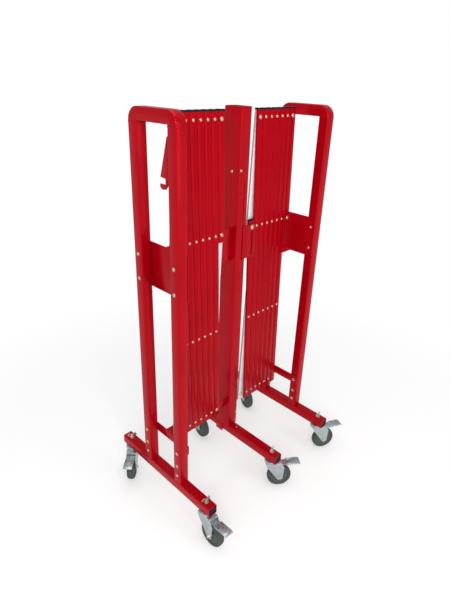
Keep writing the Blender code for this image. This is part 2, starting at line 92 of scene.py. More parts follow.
def makeFinishGroup():
    # cloudy variation that drives tone and roughness
    group, into, out = nodeGroup(
        "handledFinish",
        [("Size", "NodeSocketFloat", 20.0), ("Smoothest", "NodeSocketFloat", 0.2),
         ("Roughest", "NodeSocketFloat", 0.4)],
        [("Tone", "NodeSocketFloat"), ("Roughness", "NodeSocketFloat")])
    place = addNode(group, "ShaderNodeTexCoord")
    clouds = addNode(group, "ShaderNodeTexNoise", Detail=5.0, Roughness=0.6)
    spread = addNode(group, "ShaderNodeMapRange")
    spread.inputs["From Min"].default_value = 0.3
    spread.inputs["From Max"].default_value = 0.7
    group.links.new(place.outputs["Object"], clouds.inputs["Vector"])
    group.links.new(into.outputs["Size"], clouds.inputs["Scale"])
    group.links.new(clouds.outputs["Fac"], spread.inputs["Value"])
    group.links.new(into.outputs["Smoothest"], spread.inputs["To Min"])
    group.links.new(into.outputs["Roughest"], spread.inputs["To Max"])
    group.links.new(clouds.outputs["Fac"], out.inputs["Tone"])
    group.links.new(spread.outputs["Result"], out.inputs["Roughness"])
    return group


def makeGrainGroup():
    # fine height, stretched by the three scales: peel when even, brushing when one is small
    group, into, out = nodeGroup(
        "fineGrain",
        [("Stretch", "NodeSocketVector", (1.0, 1.0, 1.0)), ("Size", "NodeSocketFloat", 400.0)],
        [("Height", "NodeSocketFloat")])
    place = addNode(group, "ShaderNodeTexCoord")
    turn = addNode(group, "ShaderNodeMapping")
    grain = addNode(group, "ShaderNodeTexNoise", Detail=3.0, Roughness=0.55)
    group.links.new(place.outputs["Object"], turn.inputs["Vector"])
    group.links.new(into.outputs["Stretch"], turn.inputs["Scale"])
    group.links.new(turn.outputs["Vector"], grain.inputs["Vector"])
    group.links.new(into.outputs["Size"], grain.inputs["Scale"])
    group.links.new(grain.outputs["Fac"], out.inputs["Height"])
    return group


def makeDustGroup():
    # dulls what is near the floor
    group, into, out = nodeGroup(
        "floorDust", [("Reach", "NodeSocketFloat", 0.3), ("Amount", "NodeSocketFloat", 0.15)],
        [("Mask", "NodeSocketFloat")])
    place = addNode(group, "ShaderNodeTexCoord")
    split = addNode(group, "ShaderNodeSeparateXYZ")
    fade = addNode(group, "ShaderNodeMapRange")
    fade.inputs["From Min"].default_value = 0.0
    fade.inputs["To Max"].default_value = 0.0
    specks = addNode(group, "ShaderNodeTexNoise", Scale=90.0, Detail=6.0)
    both = addNode(group, "ShaderNodeMath", operation="MULTIPLY")
    group.links.new(place.outputs["Object"], split.inputs["Vector"])
    group.links.new(split.outputs["Z"], fade.inputs["Value"])
    group.links.new(into.outputs["Reach"], fade.inputs["From Max"])
    group.links.new(into.outputs["Amount"], fade.inputs["To Min"])
    group.links.new(place.outputs["Object"], specks.inputs["Vector"])
    group.links.new(fade.outputs["Result"], both.inputs[0])
    group.links.new(specks.outputs["Fac"], both.inputs[1])
    group.links.new(both.outputs["Value"], out.inputs["Mask"])
    return group


handledFinish, fineGrain, floorDust = makeFinishGroup(), makeGrainGroup(), makeDustGroup()


def makeMaterial(name, light, dark, smoothest, roughest, metallic=0.0, size=20.0, stretch=(1, 1, 1),
                 grain=400.0, bump=0.05, dust=0.0, **fixed):
    material = bpy.data.materials.new(name)
    material.use_nodes = True
    tree = material.node_tree
    shader = tree.nodes["Principled BSDF"]
    shader.inputs["Metallic"].default_value = metallic
    for label, value in fixed.items():
        shader.inputs[label.replace("_", " ")].default_value = value
    finish = addNode(tree, "ShaderNodeGroup", node_tree=handledFinish)
    finish.inputs["Size"].default_value = size
    finish.inputs["Smoothest"].default_value = smoothest
    finish.inputs["Roughest"].default_value = roughest
    tone = addNode(tree, "ShaderNodeMix", data_type="RGBA")
    tone.inputs[6].default_value = (*dark, 1)
    tone.inputs[7].default_value = (*light, 1)
    colour = tone.outputs[2]
    tree.links.new(finish.outputs["Tone"], tone.inputs[0])
    if dust:
        specks = addNode(tree, "ShaderNodeGroup", node_tree=floorDust)
        specks.inputs["Amount"].default_value = dust
        dusty = addNode(tree, "ShaderNodeMix", data_type="RGBA")
        dusty.inputs[7].default_value = (*paints["dust"], 1)
        tree.links.new(specks.outputs["Mask"], dusty.inputs[0])
        tree.links.new(colour, dusty.inputs[6])
        colour = dusty.outputs[2]
    tree.links.new(colour, shader.inputs["Base Color"])
    tree.links.new(finish.outputs["Roughness"], shader.inputs["Roughness"])
    texture = addNode(tree, "ShaderNodeGroup", node_tree=fineGrain)
    texture.inputs["Stretch"].default_value = stretch
    texture.inputs["Size"].default_value = grain
    relief = addNode(tree, "ShaderNodeBump", Strength=bump, Distance=0.0004)
    tree.links.new(texture.outputs["Height"], relief.inputs["Height"])
    tree.links.new(relief.outputs["Normal"], shader.inputs["Normal"])
    return material


redPaint = makeMaterial(
    "redPowderCoat", paints["red"], paints["redDeep"], 0.20, 0.34, metallic=0.30, size=6.0,
    grain=700.0, bump=0.06, dust=0.02, Specular_IOR_Level=0.05, Coat_Weight=0.08, Coat_Roughness=0.10)
slatPaint = makeMaterial(
    "redSlatPaint", paints["red"], paints["redDeep"], 0.26, 0.40, metallic=0.22, size=5.0,
    stretch=(1, 1, 0.08), grain=900.0, bump=0.06, Specular_IOR_Level=0.03, Coat_Weight=0.03,
    Coat_Roughness=0.12)
millAluminium = makeMaterial(
    "millAluminium", paints["aluminium"], paints["aluminiumDark"], 0.34, 0.52, metallic=0.55, size=30.0,
    stretch=(1, 1, 0.02), grain=1400.0, bump=0.22)
zincPlate = makeMaterial(
    "zincPlate", paints["zinc"], paints["zincDark"], 0.22, 0.46, metallic=0.85, size=70.0, grain=500.0,
    bump=0.12, dust=0.25)
rubber = makeMaterial(
    "greyRubber", paints["rubber"], paints["rubberDark"], 0.55, 0.80, size=40.0, grain=600.0, bump=0.25,
    dust=0.16, Specular_IOR_Level=0.25)
hubPlastic = makeMaterial(
    "wheelCentre", paints["hub"], paints["hubDark"], 0.40, 0.60, size=50.0, bump=0.08, dust=0.12,
    Specular_IOR_Level=0.30)
# black for the slat end caps, also used as painted shade on the faces sunk inside open tube ends
blackPlastic = makeMaterial(
    "blackPlastic", paints["black"], paints["blackDeep"], 0.40, 0.58, size=60.0, bump=0.12,
    Specular_IOR_Level=0.15)
rivetSteel = makeMaterial(
    "rivetSteel", paints["rivet"], paints["rivetDark"], 0.22, 0.40, metallic=0.95, size=120.0,
    grain=900.0, bump=0.10)
boltSteel = makeMaterial(
    "boltSteel", paints["bolt"], paints["boltDark"], 0.20, 0.38, metallic=0.95, size=120.0,
    grain=900.0, bump=0.10)
print("materials ready")


# ---- modelling helpers
def moveTo(place, turn=None):
    shift = Matrix.Translation(Vector(place))
    return shift @ turn if turn else shift


facing = {
    "-Y": Matrix.Rotation(math.radians(90), 4, "X"), "+Y": Matrix.Rotation(math.radians(-90), 4, "X"),
    "-X": Matrix.Rotation(math.radians(-90), 4, "Y"), "+X": Matrix.Rotation(math.radians(90), 4, "Y"),
    "+Z": Matrix.Identity(4),
}


def makePiece(name, bm, materials, body, stands=(), sharp=35):
    mesh = bpy.data.meshes.new(name)
    bm.to_mesh(mesh)
    bm.free()
    for material in materials if isinstance(materials, (list, tuple)) else [materials]:
        mesh.materials.append(material)
    mesh.shade_smooth()
    mesh.set_sharp_from_angle(angle=math.radians(sharp))
    piece = bpy.data.objects.new(name, mesh)
    bpy.context.scene.collection.objects.link(piece)
    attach(piece, body)
    if stands:
        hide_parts(*stands)
    return piece


def roundEdges(bm, edges, size, segments, **options):
    bmesh.ops.bevel(bm, geom=edges, offset=size, offset_type="OFFSET", segments=segments, profile=0.5,
                    affect="EDGES", material=-1, **options)


def addBox(bm, low, high, bevel=0.0, segments=2, along=None, matIndex=0):
    low, high = Vector(low), Vector(high)
    size = high - low
    fit = moveTo((low + high) / 2) @ Matrix.Diagonal((*size, 1))
    made = bmesh.ops.create_cube(bm, size=1.0, matrix=fit)
    faces = {face for vert in made["verts"] for face in vert.link_faces}
    for face in faces:
        face.material_index = matIndex
    if bevel:
        edges = {edge for vert in made["verts"] for edge in vert.link_edges}
        if along is not None:
            edges = {e for e in edges if abs((e.verts[0].co - e.verts[1].co).normalized()[along]) > 0.9}
        roundEdges(bm, list(edges), bevel, segments, clamp_overlap=True)


def addDome(bm, place, radius, height, direction):
    # a low round head sitting on a surface
    turn = moveTo(place) @ facing[direction] @ Matrix.Diagonal((radius, radius, height, 1))
    ball = bmesh.ops.create_uvsphere(bm, u_segments=16, v_segments=8, radius=1.0, matrix=turn)
    centre, normal = Vector(place), facing[direction].to_3x3() @ Vector((0, 0, 1))
    below = [vert for vert in ball["verts"] if (vert.co - centre).dot(normal) < -0.3 * height]
    bmesh.ops.delete(bm, geom=below, context="VERTS")
    rims = [edge for edge in bm.edges if edge.is_boundary]
    bmesh.ops.holes_fill(bm, edges=rims, sides=40)


def addDisc(bm, place, radius, height, direction, sides=24, top=None):
    turn = moveTo(place) @ facing[direction] @ Matrix.Translation((0, 0, height / 2))
    bmesh.ops.create_cone(bm, cap_ends=True, segments=sides, radius1=radius,
                          radius2=radius if top is None else top, depth=height, matrix=turn)


def softened(node, edge, segments=2):
    # a merged copy of a CAD node with its sharp edges rounded
    bm = bmesh.new()
    bm.from_mesh(nodes[node].data)
    bmesh.ops.remove_doubles(bm, verts=bm.verts, dist=1e-5)
    bmesh.ops.dissolve_limit(bm, angle_limit=math.radians(1), verts=bm.verts, edges=bm.edges)
    corners = [e for e in bm.edges if e.is_manifold and e.calc_face_angle(0.0) > math.radians(40)]
    roundEdges(bm, corners, edge, segments, clamp_overlap=True)
    return bm


def grow(bm, face, step):
    # extrudes one end face and returns the new one
    made = bmesh.ops.extrude_face_region(bm, geom=[face, *face.edges, *face.verts])
    bmesh.ops.translate(bm, verts=[v for v in made["geom"] if isinstance(v, bmesh.types.BMVert)], vec=step)
    if face.is_valid:
        bmesh.ops.delete(bm, geom=[face], context="FACES_ONLY")
    return [f for f in made["geom"] if isinstance(f, bmesh.types.BMFace)][0]


def bend(bm, face, centre, axis, angle, steps):
    geom = [face, *face.edges, *face.verts]
    made = bmesh.ops.spin(bm, geom=geom, cent=centre, axis=axis, angle=angle, steps=steps, use_merge=False)
    end = [f for f in made["geom_last"] if isinstance(f, bmesh.types.BMFace)][0]
    if face.is_valid:
        bmesh.ops.delete(bm, geom=[face], context="FACES_ONLY")
    return end


# ---- end frames
hoop = {
    "tubeRound": 4 * mm, "innerRadius": 2 * mm, "cornerSteps": 10,
    "beadProud": 0.45 * mm, "beadHeight": 5 * mm,
    "boltRadius": 5 * mm, "boltHeight": 3.2 * mm, "washerHeight": 0.8 * mm, "nutHeight": 3.0 * mm,
    "plateFace": 3.3 * mm, "domeLift": 0.6 * mm,
    "plateBolts": (-38 * mm, -121 * mm), "railBolt": 22 * mm, "footBolts": (34 * mm, 79 * mm),
    "hookEdge": 1.2 * mm, "hookHalf": 2.6 * mm, "hookAbove": 500 * mm,
}
plateEdge = 0.7 * mm


def makeHoop(side):
    low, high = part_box(side + "_hoop")
    width = high.x - low.x
    bm = bmesh.new()
    base = Vector(((low.x + high.x) / 2, low.y + width / 2, low.z))
    made = bmesh.ops.create_grid(bm, x_segments=1, y_segments=1, size=width / 2, matrix=moveTo(base))
    bmesh.ops.bevel(bm, geom=made["verts"], offset=hoop["tubeRound"], segments=3, profile=0.5,
                    affect="VERTICES", material=-1)
    face = bm.faces[:][0]
    inner = hoop["innerRadius"]
    straight = high.z - low.z - width - inner
    face = grow(bm, face, (0, 0, straight))
    first = Vector((base.x, low.y + width + inner, low.z + straight))
    quarter = -math.radians(90)
    face = bend(bm, face, first, (1, 0, 0), quarter, hoop["cornerSteps"])
    across = high.y - low.y - 2 * (width + inner)
    face = grow(bm, face, (0, across, 0))
    face = bend(bm, face, first + Vector((0, across, 0)), (1, 0, 0), quarter, hoop["cornerSteps"])
    grow(bm, face, (0, 0, -straight))
    bmesh.ops.remove_doubles(bm, verts=bm.verts, dist=1e-6)
    bmesh.ops.recalc_face_normals(bm, faces=bm.faces)
    makePiece(side + "HoopTube", bm, redPaint, side + "_frame", [side + "_hoop"])


def makeHoopBolts(side):
    low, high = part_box(side + "_hoop")
    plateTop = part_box(side + "_mid_plate")[1].z
    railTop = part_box(side + "_lower_rail")[1].z
    half = (high.x - low.x) / 2
    washer, washerHeight = hoop["boltRadius"] * 1.35, hoop["washerHeight"]
    bm = bmesh.new()
    heights = [plateTop + drop for drop in hoop["plateBolts"]]
    heights += [railTop - hoop["railBolt"]] + [low.z + rise for rise in hoop["footBolts"]]
    for y in (low.y + half, high.y - half):
        for z in heights[:3]:
            if side == "right":
                face = low.x - hoop["plateFace"]
                addDisc(bm, (face, y, z), washer, washerHeight, "-X")
                addDome(bm, (face - hoop["domeLift"], y, z), hoop["boltRadius"], hoop["boltHeight"], "-X")
        for z in heights:
            addDisc(bm, (low.x, y, z), washer, washerHeight, "-X")
            addDome(bm, (low.x - hoop["domeLift"], y, z), hoop["boltRadius"], hoop["boltHeight"], "-X")
            addDisc(bm, (high.x, y, z), hoop["boltRadius"] * 1.1, hoop["nutHeight"], "+X", sides=6)
    makePiece(side + "FrameBolts", bm, rivetSteel, side + "_frame")


def makeWeldBands(side):
    # low ground-down beads where the bends meet the straight tube
    low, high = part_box(side + "_hoop")
    width = high.x - low.x
    proud = hoop["beadProud"]
    z = high.z - width - hoop["innerRadius"]
    bm = bmesh.new()
    for y in (low.y, high.y - width):
        addBox(bm, (low.x - proud, y - proud, z - hoop["beadHeight"]),
               (high.x + proud, y + width + proud, z), hoop["tubeRound"], 3, 2)
    edges = [e for e in bm.edges if abs(e.calc_face_angle(0.0)) > math.radians(70)]
    roundEdges(bm, edges, proud * 0.9, 2)
    makePiece(side + "WeldBeads", bm, redPaint, side + "_frame")


def makeHook():
    low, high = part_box("left_hoop")
    middle = (low.x + high.x) / 2
    bm = bmesh.new()
    bm.from_mesh(nodes["left_hoop"].data)
    bmesh.ops.remove_doubles(bm, verts=bm.verts, dist=1e-5)
    floorOfHook = low.z + hoop["hookAbove"]
    away = [f for f in bm.faces
            if any(abs(v.co.x - middle) > hoop["hookHalf"] or v.co.z < floorOfHook for v in f.verts)]
    bmesh.ops.delete(bm, geom=away, context="FACES")
    bmesh.ops.holes_fill(bm, edges=[e for e in bm.edges if e.is_boundary], sides=12)
    bmesh.ops.dissolve_limit(bm, angle_limit=math.radians(1), verts=bm.verts, edges=bm.edges)
    corners = [e for e in bm.edges if e.is_manifold and e.calc_face_angle(0.0) > math.radians(50)]
    roundEdges(bm, corners, hoop["hookEdge"], 3)
    bmesh.ops.recalc_face_normals(bm, faces=bm.faces)
    makePiece("couplingHook", bm, redPaint, "left_frame")


for side in ("left", "right"):
    makeHoop(side)
    makeHoopBolts(side)
    makeWeldBands(side)
    for node in (side + "_mid_plate", side + "_lower_rail"):
        makePiece(node + "_finished", softened(node, plateEdge), redPaint, side + "_frame",
                  [node])
makeHook()
print("end frames made")

# ---- feet and post
tube = {
    "width": 38 * mm, "wall": 1.8 * mm, "corner": 3.5 * mm, "mouthDepth": 3 * mm, "rimDepth": 2 * mm,
    "saddleStart": 38 * mm, "saddleLength": 38 * mm, "saddleDrop": 5 * mm, "lap": 1 * mm,
}


def addSquareTube(bm, low, high, along, mouths, depth):
    # a tube with rounded long edges and a black face sunk just inside each listed end; at the open foot ends that
    # black face is painted shade standing in for the dark hollow inside
    addBox(bm, low, high, tube["corner"], 4, along)
    bm.normal_update()
    ends = []
    for sign in mouths:
        limit = high[along] if sign > 0 else low[along]
        ends += [f for f in bm.faces if abs(f.normal[along] - sign) < 0.01
                 and abs(f.calc_center_median()[along] - limit) < 1e-5]
    for face in ends:
        bmesh.ops.inset_region(bm, faces=[face], thickness=tube["wall"], use_even_offset=True)
        inward = face.normal * -depth
        new = grow(bm, face, inward)
        # the sunk face gets the black material: painted shade for the hollow inside the tube end
        new.material_index = 1


def makeFoot(side, body):
    low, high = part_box(side + "_foot")
    middle = joints[side + "_front_caster_swivels"]["pos_m"]
    half = tube["width"] / 2
    base, top = middle[2], middle[2] + tube["width"]
    bm = bmesh.new()
    if low.z < base - tube["saddleDrop"]:
        # saddle plate under the back of the post
        saddleY = (low.y + high.y) / 2 + tube["saddleStart"]
        addBox(bm, (low.x, saddleY, low.z),
               (middle[0] - half + tube["lap"], saddleY + tube["saddleLength"], top - tube["lap"]), 1.0 * mm)
    # both open foot ends get a sunk black face, painted shade for the hollow tube
    addSquareTube(bm, (middle[0] - half, low.y, base), (middle[0] + half, high.y, top), 1, (-1, 1),
                  tube["mouthDepth"])
    makePiece(side + "FootTube", bm, [redPaint, blackPlastic], body, [side + "_foot"])
    return top


post = {
    "width": 50 * mm, "gap": 0.3 * mm, "plate": 3 * mm, "flangeBelow": 25 * mm, "flangeAbove": 12 * mm,
    "slotWidth": 7 * mm, "slotDepth": 1.6 * mm, "slotFromRight": 21 * mm,
    "slots": ((1078 * mm, 1212 * mm), (364 * mm, 482 * mm)),
    "upperBolt": 1254 * mm, "lowerBolts": (232 * mm, 188 * mm), "pin": 4 * mm, "pinHead": 7.5 * mm,
}
flangeOverhang = 20 * mm


def makePost():
    low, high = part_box("centre_post")
    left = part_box("post_left_guide")[1].x + post["gap"]
    right = left + post["width"]
    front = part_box("post_right_guide")[1].y + post["gap"]
    bm = bmesh.new()
    addSquareTube(bm, (left, front, low.z), (right, high.y, high.z), 2, (1,), tube["rimDepth"])
    piece = makePiece("postTube", bm, [redPaint, blackPlastic], "post", ["centre_post"])
    for bottom, top in post["slots"]:
        cutter = bmesh.new()
        x = right - post["slotFromRight"]
        half = post["slotWidth"] / 2
        addBox(cutter, (x - half, front - 5 * mm, bottom), (x + half, front + post["slotDepth"], top),
               half * 0.98, 4, 1)
        mesh = bpy.data.meshes.new("slotCutter")
        cutter.to_mesh(mesh)
        cutter.free()
        tool = bpy.data.objects.new("slotCutter", mesh)
        bpy.context.scene.collection.objects.link(tool)
        change = piece.modifiers.new("slot", "BOOLEAN")
        change.operation = "DIFFERENCE"
        change.solver = "EXACT"
        change.object = tool
        graph = bpy.context.evaluated_depsgraph_get()
        piece.data = bpy.data.meshes.new_from_object(piece.evaluated_get(graph))
        piece.modifiers.clear()
        bpy.data.objects.remove(tool, do_unlink=True)
    return left, right, front


feetBodies = {"left": "left_frame", "centre": "post", "right": "right_frame"}
footTops = {side: makeFoot(side, body) for side, body in feetBodies.items()}
postLeft, postRight, postFront = makePost()


def makePivotFlange(name, xFrom, xPivot, pinFront):
    # the post's lower brackets with their fixed pins
    joint = joints["left_pack_opens" if xPivot < postLeft else "right_pack_opens"]["pos_m"]
    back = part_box("post_left_guide")[0].y
    bm = bmesh.new()
    past = xPivot + math.copysign(flangeOverhang, xPivot - xFrom)
    addBox(bm, (min(xFrom, past), back, joint[2] - post["flangeBelow"]),
           (max(xFrom, past), back + post["plate"], joint[2] + post["flangeAbove"]), plateEdge)
    root = (xPivot, back + 1 * mm, joint[2])
    addDisc(bm, root, post["pin"], root[1] - pinFront, "-Y")
    addDisc(bm, root, post["pinHead"], 1.2 * mm, "-Y")
    makePiece(name, bm, redPaint, "post")


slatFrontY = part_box("right_front_slat_03_06")[0].y
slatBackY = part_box("right_back_slat_03_00")[1].y
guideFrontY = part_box("post_right_guide")[0].y
for name, edgeX, joint in (("leftPivotBracket", postLeft, "left_pack_opens"),
                           ("rightPivotBracket", postRight, "right_pack_opens")):
    pinX = joints[joint]["pos_m"][0]
    pinFront = slatFrontY - 1 * mm if pinX < edgeX else slatFrontY + 7 * mm
    makePivotFlange(name, edgeX, pinX, pinFront)
for node in ("post_left_guide", "post_right_guide"):
    makePiece(node + "_finished", softened(node, plateEdge), redPaint, "post", [node])


def makePostBolts():
    bm = bmesh.new()
    z = post["upperBolt"]
    addDome(bm, (postLeft, postFront + 33 * mm, z - 3 * mm), 5 * mm, 3 * mm, "-X")
    addDome(bm, (postLeft + 11 * mm, postFront, z + 2 * mm), 5 * mm, 3 * mm, "-Y")
    for height in post["lowerBolts"]:
        addDome(bm, (postRight - 5 * mm, postFront, height), 4.5 * mm, 3 * mm, "-Y")
    middle = (postLeft + postRight) / 2
    addDome(bm, (middle, postFront - 26 * mm, footTops["centre"]), 3.5 * mm, 2 * mm, "+Z")
    makePiece("postBolts", bm, rivetSteel, "post")


makePostBolts()
print("feet and post made")

# ---- lattice
slatLook = {
    "width": 27.5 * mm, "thickness": 8 * mm, "overhang": 27 * mm, "edge": 0.7 * mm,
    "groove": 2.6 * mm, "grooveDepth": 0.8 * mm,
    "capLength": 5 * mm, "capProud": 0.25 * mm, "capTop": 1.2 * mm, "capEdge": 1.0 * mm,
    "rivetRadius": 5.2 * mm, "rivetHeight": 2.6 * mm, "tailHeight": 1.6 * mm, "shank": 3 * mm,
    "endRadius": 7.2 * mm, "endHeight": 3.6 * mm,
}
columns, rows = 14, 3


def packGrid(side):
    near = Vector(joints[side + "_pack_opens"]["pos_m"])
    far = Vector(joints[side + "_frame_stays_upright"]["pos_m"])
    left = min(near, far, key=lambda spot: spot.x)
    heights = [joint["pos_m"][2] for name, joint in joints.items()
               if name.startswith(side + "_") and "slat" in name]
    return {"left": left.x, "pitch": abs(far.x - near.x) / columns, "low": near.z,
            "rise": (max(heights) - near.z) / rows}


def slatEnds(node):
    words = node.split("_")
    first, last = int(words[3]), int(words[4])
    span = abs(last - first)
    atEnd = span < rows and first in (0, columns)
    topRow = rows - span if atEnd else 0
    return first, topRow, last, topRow + span


def pivotAt(grid, column, row):
    return Vector((grid["left"] + column * grid["pitch"], 0, grid["low"] + (rows - row) * grid["rise"]))


def makeSlat(side, node, grid):
    isFront = "_front_" in node
    thickness = slatLook["thickness"]
    y = (slatFrontY + thickness / 2) if isFront else (slatBackY - thickness / 2)
    first, topRow, last, bottomRow = slatEnds(node)
    top, bottom = pivotAt(grid, first, topRow), pivotAt(grid, last, bottomRow)
    length = (top - bottom).length + 2 * slatLook["overhang"]
    tilt = math.atan2(top.x - bottom.x, top.z - bottom.z)
    middle = (top + bottom) / 2 + Vector((0, y, 0))
    place = moveTo(middle, Matrix.Rotation(tilt, 4, "Y"))
    bm = bmesh.new()
    half = Vector((slatLook["width"] / 2, thickness / 2, length / 2))
    addBox(bm, -half, half, slatLook["edge"], 2)
    if not isFront:
        bm.normal_update()
        sides = [f for f in bm.faces if abs(f.normal.x) > 0.99]
        bmesh.ops.inset_individual(bm, faces=sides, thickness=slatLook["groove"],
                                   depth=-slatLook["grooveDepth"], use_even_offset=True)
    proud = Vector((slatLook["capProud"], slatLook["capProud"], 0))
    low = Vector((-half.x, -half.y, half.z - slatLook["capLength"])) - proud
    high = half + proud + Vector((0, 0, slatLook["capTop"]))
    addBox(bm, low, high, slatLook["capEdge"], 2, matIndex=1)
    bmesh.ops.transform(bm, verts=bm.verts, matrix=place)
    body = bodyOf[node]
    paint = slatPaint if isFront else millAluminium
    makePiece(node + "_bar", bm, [paint, blackPlastic], body, [node])
    step = 1 if isFront else -1
    bm = bmesh.new()
    for row in range(topRow, bottomRow + 1):
        column = first + step * (row - topRow)
        spot = pivotAt(grid, column, row)
        atEdge = column in (0, columns)
        fixedEnd = row == rows and atEdge
        big = atEdge or (row == 0 and column in (1, columns - 1))
        radius = slatLook["endRadius"] if big else slatLook["rivetRadius"]
        height = slatLook["endHeight"] if big else slatLook["rivetHeight"]
        if isFront:
            spot.y = slatFrontY
            if row == 1 and atEdge and not (side == "left" and column == columns):
                addDisc(bm, spot, 4 * mm, 5 * mm, "-Y")
                spot.y = guideFrontY
                addDisc(bm, spot, radius * 1.25, 0.8 * mm, "-Y")
            addDome(bm, spot, radius, height, "-Y")
        else:
            spot.y = slatFrontY + thickness if fixedEnd else slatBackY
            if fixedEnd:
                addDome(bm, spot, radius, height, "-Y")
            else:
                addDome(bm, spot, slatLook["rivetRadius"], slatLook["tailHeight"], "+Y")
        if isFront and not (row == rows and column == columns):
            root = (spot.x, slatFrontY + thickness / 2, spot.z)
            addDisc(bm, root, slatLook["shank"], thickness + 3 * mm, "+Y", sides=12)
    makePiece(node + "_rivets", bm, rivetSteel, body)


for side in ("left", "right"):
    grid = packGrid(side)
    for node in sorted(nodes):
        if node.startswith(side) and "_slat_" in node:
            makeSlat(side, node, grid)
print("lattice made")

# ---- casters
caster = {
    "steps": 64, "hubReach": 36 * mm, "legs": 20 * mm, "washer": 9.5 * mm, "wingSpan": 15 * mm,
    "pedalTip": 84 * mm, "treadBend": 72 * mm, "treadTop": 13 * mm, "treadSlope": 0.121,
    "ribHalf": 13 * mm, "ribStart": 14 * mm, "ribStep": 8 * mm, "railY": 15.4 * mm, "railStart": 30 * mm,
}


def casterPlace(name):
    swivel = Vector(joints[name + "_caster_swivels"]["pos_m"])
    wheel = joints[name + "_wheel_spins"]
    hub = Vector(wheel["pos_m"])
    out = Vector((hub.x - swivel.x, hub.y - swivel.y, 0)).normalized()
    turn = Matrix.Rotation(math.atan2(out.y, out.x), 4, "Z")
    return swivel, hub, turn


def makeWheel(name):
    hub, turn = casterPlace(name)[1:]
    radius = hub.z
    bm = bmesh.new()
    # half section from the bore outwards: hub, web, rim lip, tyre shoulder, tread
    section = [(5.6, 15.0), (12.5, 15.0), (13.6, 14.2), (15.5, 10.2), (30.0, 9.0), (34.5, 9.4),
               (36.0, 12.0), (37.5, 13.4), (40.5, 14.2), (44.5, 13.6), (47.5, 11.4), (49.2, 7.6),
               (49.9, 3.2)]
    ring = [Vector((r * mm, -y * mm, 0)) for r, y in section] + [Vector((radius, 0, 0))]
    ring += [Vector((r * mm, y * mm, 0)) for r, y in reversed(section)]
    corners = [bm.verts.new(point) for point in ring]
    edges = [bm.edges.new(pair) for pair in zip(corners, corners[1:] + corners[:1])]
    bmesh.ops.spin(bm, geom=corners + edges, cent=(0, 0, 0), axis=(0, 1, 0), angle=math.radians(360),
                   steps=caster["steps"], use_merge=True)
    bmesh.ops.recalc_face_normals(bm, faces=bm.faces)
    for face in bm.faces:
        reach = math.hypot(face.calc_center_median().x, face.calc_center_median().z)
        face.material_index = 1 if reach < caster["hubReach"] else 0
    bmesh.ops.transform(bm, verts=bm.verts, matrix=moveTo(hub, turn))
    makePiece(name + "TyreAndHub", bm, [rubber, hubPlastic], name + "_wheel",
              [name + "_wheel"])


def makeCasterHardware(name):
    swivel, hub, turn = casterPlace(name)
    bm = bmesh.new()
    legs = caster["legs"]
    spot = (hub - swivel).to_2d().length
    for sign, direction in ((-1, "-Y"), (1, "+Y")):
        addDisc(bm, (spot, sign * legs, hub.z), 8.5 * mm, 1.2 * mm, direction)
        addDisc(bm, (spot, sign * (legs + 1.2 * mm), hub.z), 6.5 * mm, 4.2 * mm, direction, sides=6)
        addDisc(bm, (spot, sign * (legs + 5.4 * mm), hub.z), 3.5 * mm, 1.6 * mm, direction)
    bmesh.ops.transform(bm, verts=bm.verts, matrix=moveTo((swivel.x, swivel.y, 0), turn))
    makePiece(name + "AxleBolt", bm, boltSteel, name + "_swivel")


def makeRace(name):
    # pressed ball race between the foot and the fork crown
    swivel, hub, turn = casterPlace(name)
    section = [(14.0, -0.4), (25.0, -0.4), (26.0, -1.6), (25.6, -3.4), (23.6, -4.4), (23.6, -5.2),
               (26.2, -6.2), (27.0, -8.2), (26.0, -10.2), (14.0, -10.2)]
    bm = bmesh.new()
    corners = [bm.verts.new((r * mm, 0, z * mm)) for r, z in section]
    edges = [bm.edges.new(pair) for pair in zip(corners, corners[1:] + corners[:1])]
    bmesh.ops.spin(bm, geom=corners + edges, cent=(0, 0, 0), axis=(0, 0, 1), angle=math.radians(360),
                   steps=48, use_merge=True)
    bmesh.ops.recalc_face_normals(bm, faces=bm.faces)
    bmesh.ops.transform(bm, verts=bm.verts, matrix=moveTo(swivel))
    makePiece(name + "BallRace", bm, zincPlate, name + "_swivel")


def makeWingNut(name):
    swivel, hub, turn = casterPlace(name)
    side = name.split("_")[0]
    top = footTops[side]
    bm = bmesh.new()
    addDisc(bm, (0, 0, 0), caster["washer"], 1.4 * mm, "+Z")
    addDisc(bm, (0, 0, 1.4 * mm), 8.2 * mm, 8 * mm, "+Z", top=6.6 * mm)
    for sign in (-1, 1):
        wing = bmesh.new()
        addBox(wing, (-0.001, -0.0022, -0.006), (caster["wingSpan"], 0.0022, 0.006), 2.0 * mm, 3, 1)
        lean = moveTo((4 * mm, 0, 7.5 * mm)) @ Matrix.Rotation(math.radians(-38), 4, "Y")
        if sign < 0:
            lean = Matrix.Rotation(math.radians(180), 4, "Z") @ lean
        bmesh.ops.transform(wing, verts=wing.verts, matrix=lean)
        mesh = bpy.data.meshes.new("wing")
        wing.to_mesh(mesh)
        wing.free()
        bm.from_mesh(mesh)
    spin = Matrix.Rotation(random.uniform(-0.6, 0.9), 4, "Z")
    bmesh.ops.transform(bm, verts=bm.verts, matrix=moveTo((swivel.x, swivel.y, top), spin))
    makePiece(name + "WingNut", bm, boltSteel, feetBodies[side])


